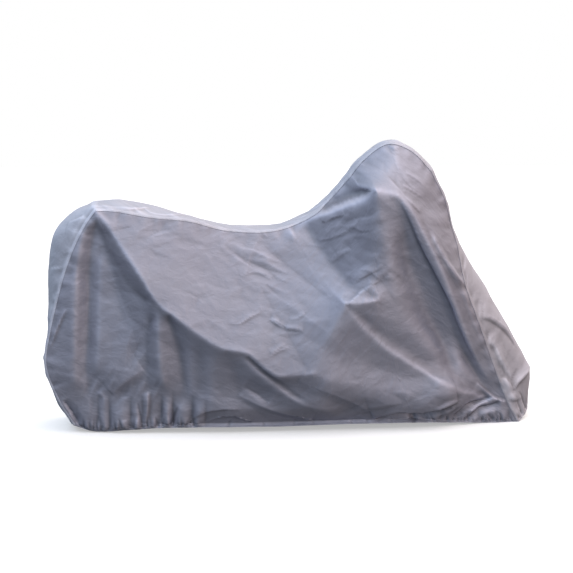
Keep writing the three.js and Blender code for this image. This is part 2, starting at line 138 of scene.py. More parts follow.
# The long folds that give each panel its shape. Path points are x, z and distance from the middle plane.
# firm: 1 for a crease, less for a fold that gives way; soft: how far its crest is rounded;
# reach: half the width of a roll; fade: how far each end gives way
nearFolds = table(
    "fold firm soft reach fade path",
    ("tail to footrest ridge", 1, 5, 0, (0, 0), [
        (-850, 950, 160), (-800, 880, 190), (-745, 795, 220), (-670, 680, 270), (-605, 575, 300),
        (-520, 505, 320), (-430, 440, 330), (-340, 385, 345), (-240, 365, 350), (-180, 310, 355),
        (-115, 265, 360), (-40, 270, 360), (25, 275, 360)]),
    ("steep hollow under the ridge", 0.9, 8, 0, (20, 60), [
        (-850, 890, 155), (-810, 805, 165), (-765, 720, 185), (-710, 630, 220), (-640, 570, 260)]),
    ("foot of that hollow", 0.25, 14, 0, (60, 80), [
        (-820, 810, 160), (-790, 720, 170), (-760, 620, 185), (-735, 530, 205), (-680, 475, 230)]),
    ("rear crest", 0.3, 12, 0, (160, 120), [
        (-880, 905, 165), (-910, 825, 172), (-930, 700, 186), (-938, 575, 194), (-944, 410, 205),
        (-948, 220, 203)]),
    ("rear trough", 0.45, 9, 0, (160, 80), [
        (-850, 890, 153), (-872, 780, 152), (-882, 570, 162), (-888, 405, 177), (-895, 270, 186),
        (-880, 120, 182)]),
    ("crest right of it", 0.35, 10, 0, (60, 60), [
        (-830, 740, 170), (-838, 570, 187), (-846, 410, 208), (-852, 290, 212)]),
    ("trough behind the pipe", 0.35, 8, 0, (40, 80), [
        (-630, 510, 255), (-645, 410, 245), (-650, 260, 240), (-655, 140, 230)]),
    ("pipe fold", 0.5, 10, 6, (30, 80), [
        (-600, 560, 295), (-600, 460, 290), (-595, 330, 285), (-580, 220, 275)]),
    ("trough before the pipe", 0.4, 9, 0, (40, 80), [
        (-560, 520, 290), (-530, 435, 275), (-510, 345, 265), (-495, 230, 255), (-510, 135, 240)]),
    ("low crest before the pipe", 0.25, 14, 0, (60, 80), [
        (-480, 415, 300), (-470, 320, 285), (-465, 175, 265)]),
    ("navy trough", 0.3, 14, 0, (60, 80), [
        (-440, 390, 300), (-430, 280, 280), (-440, 140, 255)]),
    ("brown crest", 0.3, 14, 0, (60, 90), [
        (-390, 370, 320), (-385, 265, 300), (-385, 140, 270)]),
    ("trough under the seat", 0.3, 14, 0, (40, 90), [
        (-325, 370, 335), (-290, 280, 305), (-260, 180, 275)]),
    ("dark crease", 0.7, 5, 0, (30, 60), [
        (-240, 355, 340), (-175, 290, 335), (-80, 215, 325), (-10, 160, 310)]),
    ("ridge below that crease", 0.5, 8, 0, (40, 90), [
        (-265, 350, 340), (-200, 285, 340), (-110, 210, 330), (-25, 150, 315), (115, 110, 290)]),
    ("belly below it", 0.15, 20, 0, (60, 90), [
        (-240, 245, 305), (-170, 175, 290), (-85, 115, 270)]),
    ("knee to footrest ridge", 0.2, 16, 0, (0, 0), [
        (170, 565, 350), (130, 475, 350), (90, 370, 350), (30, 275, 360)]),
    ("saddle edge", 0.8, 4, 0, (40, 0), [
        (-30, 845, 120), (25, 760, 165), (80, 670, 225), (125, 610, 285), (165, 565, 350)]),
    ("back of the saddle fold", 0.35, 8, 0, (40, 0), [
        (30, 868, 98), (90, 785, 158), (145, 710, 214), (190, 645, 270), (235, 615, 308),
        (310, 580, 340)]),
    ("knee edge", 1, 2, 0, (0, 40), [
        (170, 565, 350), (230, 565, 350), (305, 575, 350)]),
    ("hood's lower edge", 0.7, 3, 0, (30, 0), [
        (220, 1070, 40), (245, 1070, 85), (255, 1045, 150), (270, 1035, 205), (285, 1030, 255),
        (305, 1025, 300)]),
    ("hollow under the hood", 0.7, 6, 0, (20, 0), [
        (115, 940, 52), (165, 960, 60), (215, 985, 80), (255, 1005, 125), (285, 1020, 205),
        (300, 1025, 285)]),
    ("seat to bar end roll", 0.8, 9, 6, (20, 0), [
        (25, 885, 80), (85, 905, 128), (130, 930, 164), (170, 948, 188), (215, 970, 218),
        (260, 990, 250), (290, 1010, 285), (305, 1025, 300)]),
    ("front ridge", 0.7, 6, 0, (0, 60), [
        (305, 1025, 300), (355, 1015, 300), (405, 1000, 300), (445, 955, 300), (485, 885, 298),
        (520, 815, 297), (560, 735, 292), (605, 645, 284), (640, 560, 272), (680, 470, 256),
        (720, 380, 240), (770, 285, 222), (825, 200, 206)]),
    ("trough behind the front ridge", 0.6, 12, 0, (20, 60), [
        (355, 980, 300), (400, 930, 292), (435, 860, 283), (490, 785, 275), (530, 720, 269),
        (570, 635, 261), (605, 555, 250), (645, 465, 235), (680, 380, 221), (730, 285, 204),
        (785, 195, 192)]),
    ("soft ridge from the bar end", 0.3, 26, 10, (0, 120), [
        (300, 995, 305), (320, 895, 310), (350, 780, 315), (380, 670, 315), (410, 550, 310),
        (450, 440, 305)]),
    ("bulge above the long trough", 0.25, 28, 8, (0, 80), [
        (200, 560, 350), (340, 500, 331), (495, 415, 299), (660, 290, 256), (790, 175, 200)]),
    ("long trough from the knee", 0.7, 14, 0, (0, 80), [
        (190, 550, 345), (280, 470, 326), (370, 390, 309), (480, 315, 289), (625, 230, 251),
        (825, 125, 182)]),
    ("ridge below that trough", 0.6, 8, 0, (0, 80), [
        (180, 540, 350), (245, 460, 345), (350, 365, 330), (465, 295, 312), (610, 205, 278),
        (825, 110, 194)]),
    ("border of the wedge", 0.6, 4, 0, (10, 0), [
        (555, 825, 290), (580, 770, 286), (620, 705, 277), (670, 650, 258), (715, 610, 205)]),
    ("foot of that trough", 0.45, 24, 0, (60, 60), [
        (425, 850, 262), (450, 730, 254), (480, 645, 246), (520, 535, 236), (555, 450, 224),
        (600, 360, 210), (670, 260, 192)]),
    ("right edge of the front ridge", 0.5, 7, 0, (20, 60), [
        (695, 595, 254), (715, 540, 248), (745, 455, 236), (790, 360, 222), (835, 275, 208)]),
)
farFolds = table(
    "fold firm soft reach fade path",
    ("tail to footrest ridge", 1, 5, 0, (0, 40), [
        (-850, 950, 160), (-760, 800, 220), (-680, 640, 270), (-560, 520, 310), (-420, 440, 330),
        (-300, 360, 345), (-150, 300, 355)]),
    ("footrest edge", 1, 3, 0, (0, 40), [(-150, 300, 355), (40, 260, 360)]),
    ("hollow under that ridge", 0.8, 10, 0, (20, 80), [
        (-840, 870, 160), (-780, 700, 175), (-700, 560, 225), (-580, 440, 260), (-470, 340, 280)]),
    ("saddle ridge", 0.6, 8, 0, (40, 0), [(-30, 850, 115), (60, 720, 210), (130, 560, 340)]),
    ("knee edge", 1, 2, 0, (0, 60), [(130, 560, 340), (290, 600, 350)]),
    ("seat to bar end ridge", 0.8, 8, 0, (30, 0), [(60, 890, 115), (150, 935, 200), (285, 1015, 305)]),
    ("front ridge", 0.8, 7, 0, (0, 100), [
        (285, 1035, 305), (410, 990, 300), (520, 800, 295), (640, 600, 260), (780, 360, 210),
        (860, 220, 185)]),
    ("trough behind the front ridge", 0.8, 24, 0, (0, 100), [
        (285, 1035, 305), (370, 900, 280), (470, 720, 260), (600, 520, 230), (760, 260, 190)]),
    ("soft ridge behind the trough", 0.3, 24, 12, (0, 120), [
        (285, 1035, 305), (350, 860, 320), (420, 640, 320), (520, 400, 290), (640, 220, 240)]),
    ("trough from the knee", 0.6, 18, 0, (0, 100), [
        (140, 550, 340), (280, 440, 300), (440, 330, 260), (620, 210, 220)]),
    ("ridge below that trough", 0.6, 8, 0, (0, 100), [
        (130, 560, 340), (230, 400, 340), (380, 290, 310), (560, 180, 260), (740, 100, 210)]),
    ("pipe fold under the ridge", 0.5, 10, 10, (40, 80), [
        (-500, 480, 305), (-480, 330, 285), (-450, 170, 260)]),
    ("trough behind the tail", 0.5, 9, 0, (30, 60), [
        (-845, 870, 160), (-850, 560, 160), (-840, 260, 170), (-830, 120, 175)]),
    ("ridge behind the tail", 0.5, 9, 0, (30, 60), [
        (-880, 900, 160), (-930, 560, 190), (-935, 280, 195), (-910, 130, 185)]),
    ("roll above the hem", 0.06, 12, 22, (60, 80), [
        (-640, 110, 235), (-300, 105, 275), (0, 110, 290), (200, 110, 295), (480, 110, 260),
        (800, 90, 200)]),
)

# broad rounded fullness of the cloth, added after it is pulled tight
nearSwells = table(
    "swell rise wide path",
    ("lower side", 36, 90, [(120, 230), (300, 175), (450, 145), (600, 125)]),
    ("front of the lower side", 22, 70, [(600, 210), (700, 150)]),
    ("middle of the hem", 22, 80, [(-380, 110), (-150, 100), (60, 110)]),
    ("round of the hood", 10, 60, [(330, 1110), (400, 1150), (470, 1130), (540, 1060)]),
)
farSwells = table(
    "swell rise wide path",
    ("lower side", 30, 100, [(100, 300), (300, 220), (560, 150)]),
    ("round of the hood", 26, 60, [(300, 1150), (390, 1182), (470, 1152), (540, 1072)]),
)

panel = {
    "columns": 320,
    "rows": 152,
    "denseAlong": ((0, 1.3), (0.25, 1.25), (0.32, 0.95), (0.62, 0.95), (0.75, 1.1), (1, 1.1)),
    "denseDown": ((0, 1.1), (0.1, 0.95), (0.75, 1.0), (0.88, 1.4), (1, 1.6)),
    "ease": 90,  # over which a swelling or the flat hem sets in
    "hemEase": 60,
    "seamEase": 30,
    "levels": (8, 4, 2, 1),  # the cloth is pulled tight on coarse grids first
    "sweeps": 90,
    "pull": 1.9,  # over-relaxation
    "grip": 60,  # how hard a fold of firmness 1 holds
    "softest": 30,  # the roundness that the most passes give
    "softPasses": 100,
    "hemBand": 20,
    "hemFlare": 13,
    "hemFlat": (-660, 620),  # where the hem hangs flat, between its gathered parts
    "thickness": 1.4,
}


def curveThrough(points, dense=24):
    # centripetal Catmull-Rom through the points, as a dense polyline
    p = np.asarray(points, float)
    p = np.vstack([2 * p[0] - p[1], p, 2 * p[-1] - p[-2]])
    out = []
    for a, b, c, d in zip(p[:-3], p[1:-2], p[2:-1], p[3:]):
        t0 = 0.0
        t1 = t0 + max(np.linalg.norm(b - a), 1e-9) ** 0.5
        t2 = t1 + max(np.linalg.norm(c - b), 1e-9) ** 0.5
        t3 = t2 + max(np.linalg.norm(d - c), 1e-9) ** 0.5
        t = np.linspace(t1, t2, dense, endpoint=False)[:, None]
        ab = (t1 - t) / (t1 - t0) * a + (t - t0) / (t1 - t0) * b
        bc = (t2 - t) / (t2 - t1) * b + (t - t1) / (t2 - t1) * c
        cd = (t3 - t) / (t3 - t2) * c + (t - t2) / (t3 - t2) * d
        abc = (t2 - t) / (t2 - t0) * ab + (t - t0) / (t2 - t0) * bc
        bcd = (t3 - t) / (t3 - t1) * bc + (t - t1) / (t3 - t1) * cd
        out.append((t2 - t) / (t2 - t1) * abc + (t - t1) / (t2 - t1) * bcd)
    out.append(p[-2][None])
    return np.vstack(out)


def lengthsOf(line):
    return np.concatenate([[0], np.cumsum(np.linalg.norm(np.diff(line, axis=0), axis=1))])


def sample(line, shares):
    # points at those shares of the line's length
    along = lengthsOf(line)
    at = np.asarray(shares) * along[-1]
    return np.stack([np.interp(at, along, line[:, k]) for k in range(line.shape[1])], axis=1)


def pick(rows, *keys):
    return [[row[key] for key in keys] for row in rows]


def placeOf(name):
    return [row["place"] for row in seamRows].index(name)


tailRow, hoodRow = placeOf("tail corner"), placeOf("hood brow")
seamKeys = ("x", "z", "half", "crown")
rearSeam = curveThrough(pick(seamRows[: tailRow + 1], *seamKeys))[::-1]
topSeam = curveThrough(pick(seamRows[tailRow : hoodRow + 1], *seamKeys))
frontSeam = curveThrough(pick(seamRows[hoodRow:], *seamKeys))
hemLine = curveThrough(pick([seamRows[0], *hemRows, seamRows[-1]], "x", "z", "half"))


def spacing(cells, density):
    # shares from 0 to 1 for that many cells; density pairs are share and relative density
    s = np.linspace(0, 1, 2001)
    d = np.interp(s, [p[0] for p in density], [p[1] for p in density])
    total = np.concatenate([[0], np.cumsum((d[1:] + d[:-1]) / 2)])
    return np.interp(np.linspace(0, total[-1], cells + 1), total, s)


uShares = spacing(panel["columns"], panel["denseAlong"])
vShares = spacing(panel["rows"], panel["denseDown"])


def panelOutline():
    # x, z and half width over the panel's grid, blended from its four edges
    top, hem = sample(topSeam[:, :3], uShares), sample(hemLine, uShares)
    rear, front = sample(rearSeam[:, :3], vShares), sample(frontSeam[:, :3], vShares)
    u, v = uShares[None, :, None], vShares[:, None, None]
    corners = (
        (1 - u) * (1 - v) * top[0] + u * (1 - v) * top[-1] + (1 - u) * v * hem[0] + u * v * hem[-1]
    )
    return (1 - v) * top[None] + v * hem[None] + (1 - u) * rear[:, None] + u * front[:, None] - corners


def nearestOn(x, z, path):
    # gap to a path, the distance along it there, its third value there, and the side (1 is on the left)
    gap = np.full(x.shape, np.inf)
    along, value, side = np.zeros(x.shape), np.zeros(x.shape), np.zeros(x.shape)
    marks = lengthsOf(path[:, :2])
    for k in range(len(path) - 1):
        (x0, z0), (dx, dz) = path[k, :2], path[k + 1, :2] - path[k, :2]
        t = np.clip(((x - x0) * dx + (z - z0) * dz) / (dx * dx + dz * dz), 0, 1)
        here = np.hypot(x - x0 - t * dx, z - z0 - t * dz)
        closer = here < gap
        gap = np.where(closer, here, gap)
        along = np.where(closer, marks[k] + t * (marks[k + 1] - marks[k]), along)
        if path.shape[1] > 2:
            value = np.where(closer, path[k, 2] + t * (path[k + 1, 2] - path[k, 2]), value)
        side = np.where(closer, np.sign((z - z0) * dx - (x - x0) * dz), side)
    return gap, along, value, side


def endFade(along, total, fade):
    # 1 along a line, easing to 0 at the ends that have a fade length
    ease = np.ones(along.shape)
    for gap, length in ((along, fade[0]), (total - along, fade[1])):
        if length:
            share = np.clip(gap / length, 0, 1)
            ease = ease * share * share * (3 - 2 * share)
    return ease


def smooth(t):
    t = np.clip(t, 0, 1)
    return t * t * (3 - 2 * t)


def heldLines(x, z, folds):
    # where the folds hold the cloth, how far out, and how firmly
    value, firm = np.zeros(x.shape), np.zeros(x.shape)
    cell = 0.6 * np.maximum(
        np.hypot(np.gradient(x, axis=1), np.gradient(z, axis=1)),
        np.hypot(np.gradient(x, axis=0), np.gradient(z, axis=0)),
    )
    for row in folds:
        path = curveThrough(row["path"], 6)
        gap, along, out, _ = nearestOn(x, z, path)
        reach = np.maximum(cell, row["reach"])
        held = row["firm"] * endFade(along, lengthsOf(path[:, :2])[-1], row["fade"]) * (gap < reach)
        value = np.where(held > firm, out, value)
        firm = np.maximum(held, firm)
    return value, firm


def finer(a):
    # twice as many cells each way
    b = np.zeros((2 * a.shape[0] - 1, 2 * a.shape[1] - 1))
    b[::2, ::2] = a
    b[1::2, ::2] = (a[:-1] + a[1:]) / 2
    b[:, 1::2] = (b[:, :-1:2] + b[:, 2::2]) / 2
    return b


def pullTight(grid, folds):
    # holds the edges, the hem band and the folds, and pulls the cloth tight between them
    out = None
    for step in panel["levels"]:
        x, z, edge = (grid[::step, ::step, k] for k in range(3))
        value, firm = heldLines(x, z, folds)
        band = z - z[-1] < panel["hemBand"]
        start, end = panel["hemFlat"]
        flat = smooth((x - start) / panel["ease"]) * smooth((end - x) / panel["ease"])
        tuck = panel["hemFlare"] * flat * (z - z[-1]) / panel["hemBand"]
        value, firm = np.where(band, edge[-1] - tuck, value), np.where(band, 1, firm)
        out = edge.copy() if out is None else finer(out)
        out[0], out[-1], out[:, 0], out[:, -1] = edge[0], edge[-1], edge[:, 0], edge[:, -1]
        grip = (panel["grip"] * firm)[1:-1, 1:-1]
        goalOfFolds, weight = grip * value[1:-1, 1:-1], 1 / (4 + grip)
        odd = np.add.outer(np.arange(x.shape[0] - 2), np.arange(x.shape[1] - 2)) % 2
        for _ in range(panel["sweeps"]):
            for half in (odd, 1 - odd):
                around = out[:-2, 1:-1] + out[2:, 1:-1] + out[1:-1, :-2] + out[1:-1, 2:]
                goal = (around + goalOfFolds) * weight
                out[1:-1, 1:-1] += panel["pull"] * half * (goal - out[1:-1, 1:-1])
    # round each fold by its own softness
    ease = np.full(x.shape, 0.02)
    for row in sorted(folds, key=lambda row: -row["soft"]):  # a sharp fold wins over a soft one
        gap = nearestOn(x, z, curveThrough(row["path"], 4))[0]
        here = np.exp(-((gap / (14 + 1.4 * row["soft"])) ** 2))
        ease += here * ((row["soft"] / panel["softest"]) ** 2 - ease)
    ease = 0.5 * (ease * smooth((z - z[-1]) / panel["hemEase"]))[1:-1, 1:-1]
    for _ in range(panel["softPasses"]):
        around = out[:-2, 1:-1] + out[2:, 1:-1] + out[1:-1, :-2] + out[1:-1, 2:]
        out[1:-1, 1:-1] += ease * (around / 4 - out[1:-1, 1:-1])
    return np.stack([x, -out, z], axis=-1)


allSeams = np.vstack([rearSeam[::-1, :2], topSeam[1:, :2], frontSeam[1:, :2]])[::4]


def swellOut(base, swells):
    x, z = base[..., 0], base[..., 2]
    inside = smooth(nearestOn(x, z, allSeams)[0] / panel["ease"]) * smooth((z - z[-1]) / panel["ease"])
    for row in swells:
        gap = nearestOn(x, z, curveThrough(row["path"], 4))[0]
        base[..., 1] -= row["rise"] * np.exp(-((gap / row["wide"]) ** 2)) * inside
    return base


outline = panelOutline()
nearBase = swellOut(pullTight(outline, nearFolds), nearSwells)
farBase = swellOut(pullTight(outline, farFolds), farSwells)  # turned over to its own side at the end
print("panels pulled tight")

strip = {
    "across": 72,
    "roundness": 2.2,
    "seamEase": 24,
    "thickness": 0.6,
    # pale: painted highlight along the strip's edge columns, strongest at the rear seams
    "pale": {"columns": 3, "along": (0, 0.24, 0.28, 1), "painted_light": (0.9, 0.9, 0.1, 0.1)},  # the rear seams most
    "lap": ((4, 1.2), (9, 0.8)),  # how far over the panel, and how high above it
}


def stripGrid():
    # rows across the strip at every point of the seam
    seam = np.vstack([
        sample(rearSeam, vShares)[::-1],
        sample(topSeam, uShares)[1:-1],
        sample(frontSeam, vShares),
    ])
    along = np.gradient(seam[:, :2], axis=0)
    along /= np.linalg.norm(along, axis=1)[:, None]
    t = np.linspace(-1, 1, strip["across"] + 1)
    rise = seam[:, 3:4] * (1 - np.abs(t)[None] ** strip["roundness"])
    x = seam[:, 0:1] - along[:, 1:2] * rise
    z = seam[:, 1:2] + along[:, 0:1] * rise
    return np.stack([x, seam[:, 2:3] * t[None], z], axis=-1)


def normalsOf(grid):
    # outward normals of a grid whose rows go down a panel, or along the strip
    across, down = np.gradient(grid, axis=1), np.gradient(grid, axis=0)
    normal = np.cross(down, across)
    return normal / np.linalg.norm(normal, axis=-1, keepdims=True)


def pathLengths(grid, axis):
    # distance along the grid's lines from their first point
    steps = np.linalg.norm(np.diff(grid, axis=axis), axis=-1)
    start = np.zeros_like(steps[:1] if axis == 0 else steps[:, :1])
    return np.concatenate([start, np.cumsum(steps, axis=axis)], axis=axis)


def uneven(start, end, wave, rng):
    # marks from start to end at uneven steps near the wave's length
    marks = np.arange(start, end + wave, wave)
    return marks + wave * rng.uniform(-0.36, 0.36, marks.size)


def ragged(s, wave, rng):
    # an uneven wave between -1 and 1 along s
    marks = uneven(s.min() - 2 * wave, s.max() + 2 * wave, wave, rng)
    heights = rng.uniform(0.3, 1, marks.size) * np.where(np.arange(marks.size) % 2, 1, -1)
    k = np.clip(np.searchsorted(marks, s) - 1, 0, marks.size - 2)
    t = smooth((s - marks[k]) / (marks[k + 1] - marks[k]))
    return heights[k] * (1 - t) + heights[k + 1] * t


slitSizes = (("tall", 0.25), ("deep", 0.45), ("wide", 0.6))  # and the least share of each


def slits(x, up, row, rng):
    # narrow valleys that stand on the hem, each with its own height, depth, width and lean
    relief = np.zeros(x.shape)
    for mark in uneven(row["start"], row["end"], row["wave"], rng):
        tall, deep, wide = (row[key] * rng.uniform(low, 1.25) for key, low in slitSizes)
        lean, bend = row["lean"] + rng.uniform(-0.12, 0.12), rng.uniform(-0.25, 0.25)
        rise = np.clip(up / tall, 0, 1)
        gap = np.abs(x - mark - lean * up - bend * up * rise) / (wide * (1 - 0.5 * rise))
        fromRim = 0.15 + 0.85 * smooth(up / row["rim"])
        relief -= deep * np.clip(1 - gap, 0, 1) ** 1.3 * (1 - rise ** 2) * fromRim
    return relief


def puffs(x, up, row, rng):
    # rounded pleats between uneven marks, fullest a little above the hem
    marks = uneven(row["start"], row["end"], row["wave"], rng)
    full = row["deep"] * rng.uniform(0.4, 1.2, marks.size)
    k = np.clip(np.searchsorted(marks, x - row["lean"] * up) - 1, 0, marks.size - 2)
    t = np.clip((x - row["lean"] * up - marks[k]) / (marks[k + 1] - marks[k]), 0, 1)
    share = up / row["tall"]
    return full[k] * np.sin(np.pi * t) * 2.7 * share * np.exp(-share) * np.exp(-((share / 2.5) ** 4))


def facets(x, z, row, rng):
    # flat facets between scattered points of random height, longer along the lean
    lean = math.radians(row["lean"])
    u = (x * math.cos(lean) + z * math.sin(lean)) / row["length"]
    v = (z * math.cos(lean) - x * math.sin(lean)) / row["width"]
    columns = np.arange(math.floor(u.min()) - 1, math.ceil(u.max()) + 2)
    rows = np.arange(math.floor(v.min()) - 1, math.ceil(v.max()) + 2)
    spots = np.stack(np.meshgrid(columns, rows), axis=-1).reshape(-1, 2)
    spots = spots + rng.uniform(-0.46, 0.46, spots.shape)
    heights = rng.normal(size=len(spots)) * row["height"]
    corners, _, faces, *_ = delaunay_2d_cdt([Vector(spot) for spot in spots], [], [], 0, 1e-6)
    tree = BVHTree.FromPolygons([(*corner, h) for corner, h in zip(corners, heights)], faces)
    drop = Vector((0, 0, -1))
    hits = [tree.ray_cast(Vector((a, b, 99)), drop)[0] for a, b in zip(u.flat, v.flat)]
    relief = np.array([0 if hit is None else hit.z for hit in hits]).reshape(x.shape)
    zone = np.exp(-(((x - row["x"]) / row["wide"]) ** 2 + ((z - row["z"]) / row["tall"]) ** 2))
    return relief * zone


crisp = {
    "finest": 10,  # the narrowest slope that the grid can show
    "rise": 1.3,
    "soft": 2.4,  # how much further the longer side eases off
    "slide": 3,  # how far the grid's points move on to a crest
}


def aroundPath(x, z, path, reach):
    # the points in the path's box and that far round it
    return (
        (x > path[:, 0].min() - reach) & (x < path[:, 0].max() + reach)
        & (z > path[:, 1].min() - reach) & (z < path[:, 1].max() + reach)
    )


def crease(x, z, row):
    # one listed fold line: sharp at its crest, easing off to each side
    path = curveThrough(row["path"], 5)
    longer = max(row["left"], row["right"])
    left, right = (
        max(row[key], crisp["finest"]) * (crisp["soft"] if row[key] == longer else 1)
        for key in ("left", "right")
    )
    near = aroundPath(x, z, path, max(left, right))
    relief = np.zeros(x.shape)
    gap, along, _, side = nearestOn(x[near], z[near], path)
    total = lengthsOf(path)[-1]
    slope = np.clip(1 - gap / np.where(side > 0, left, right), 0, 1)
    ends = np.sin(math.pi * np.clip(along / total, 0, 1)) ** 0.6
    relief[near] = crisp["rise"] * row["rise"] * slope ** row["power"] * ends
    return relief


panelCrumples = table(
    "x z wide tall lean length width height",
    (0, 500, 9000, 9000, -35, 220, 110, 2.2),
    (0, 500, 9000, 9000, -20, 90, 48, 0.9),
    (0, 500, 9000, 9000, 10, 40, 26, 0.4),
    (-160, 690, 120, 150, -20, 70, 26, 3.0),
    (-20, 470, 150, 90, 15, 70, 28, 1.6),
    (200, 820, 120, 170, 30, 80, 28, 1.8),
    (430, 1050, 110, 110, -45, 60, 24, 1.8),
    (-740, 330, 150, 160, 60, 90, 40, 2.2),
    (-760, 180, 200, 110, 75, 60, 26, 1.8),
    (520, 110, 300, 70, 15, 70, 26, 3.4),
    (330, 620, 120, 90, -30, 60, 30, 2.0),
    (-700, 880, 160, 60, 5, 90, 26, 2.4),
    (180, 870, 110, 60, 35, 60, 26, 1.6),
    (290, 670, 80, 50, 40, 50, 24, 1.8),
)
hemSlits = table(
    "start end wave tall rim deep wide lean",
    (-900, -490, 84, 120, 30, 9, 16, -0.03),
    (-920, -460, 34, 62, 16, 10, 11, 0.02),
    (-935, -440, 16, 30, 9, 8, 7, 0.0),
    (-420, 330, 120, 40, 10, 4, 12, 0.1),
    (560, 960, 46, 60, 16, 12, 10, -0.2),
    (640, 965, 20, 34, 10, 9, 7, 0.0),
)
hemPuffs = table(
    "start end wave tall deep lean",
    (-930, -460, 64, 60, 20, 0.0),
    (-940, -440, 26, 24, 8, 0.0),
    (560, 960, 60, 34, 7, 0.0),
)
seamPuckers = table(
    "wave peak depth",
    (34, 14, 1.6),
    (90, 30, 2.2),
)
